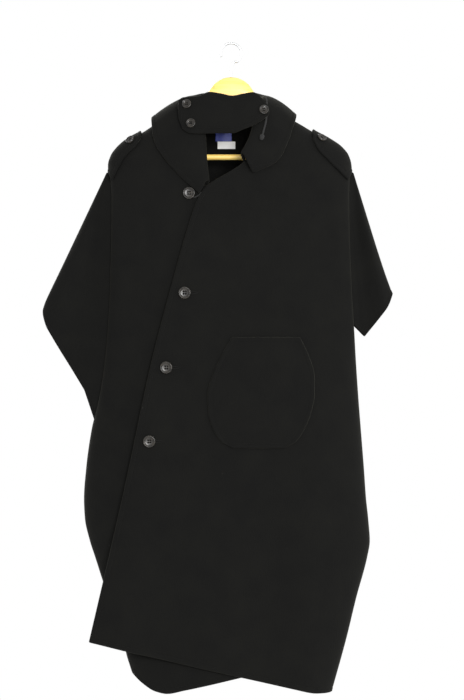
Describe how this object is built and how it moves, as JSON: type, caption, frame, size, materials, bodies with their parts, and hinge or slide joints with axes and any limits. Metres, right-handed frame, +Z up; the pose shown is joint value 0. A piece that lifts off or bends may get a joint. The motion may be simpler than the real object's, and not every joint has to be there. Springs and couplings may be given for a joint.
{
  "type": "wool cloak on a wooden hanger",
  "caption": "Heavy black wool cloak with cape sleeves, slanted buttoned front, turned-down collar with throat tab, shoulder straps and a patch pocket, hung on a wooden hanger.",
  "frame": {"origin": "inside top of the hanger's hook, where it rests on a rail", "axes": "+Z up, -Y the way the wearer faces, +X the wearer's left"},
  "size_m": [0.673, 0.164, 1.2439],
  "materials": {
    "wool": "heavy felted melton wool with a short dull nap",
    "button": "dark moulded four-hole buttons with a raised rim",
    "cord": "round braided cord",
    "blue_label": "woven satin label, bare of text",
    "white_label": "printed tape label, bare of text",
    "wood": "pale lacquered beech",
    "steel": "bright plated steel wire"
  },
  "bodies": {
    "root": {"left_front": "wool", "right_front": "wool", "back_panel": "wool", "right_sleeve": "wool", "left_sleeve": "wool", "collar_stand": "wool", "collar_leaf": "wool", "throat_tab": "wool", "right_epaulette": "wool", "left_epaulette": "wool", "patch_pocket": "wool", "neck_label": "blue_label", "size_label": "white_label", "front_button_1": "button", "front_button_2": "button", "front_button_3": "button", "front_button_4": "button", "tab_button_1": "button", "tab_button_2": "button", "tab_button_3": "button", "right_epaulette_button": "button", "left_epaulette_button": "button", "draw_cord": "cord", "cord_knot": "cord", "hanger_body": "wood", "trouser_bar": "wood", "hanger_hook": "steel"}
  },
  "joints": []
}
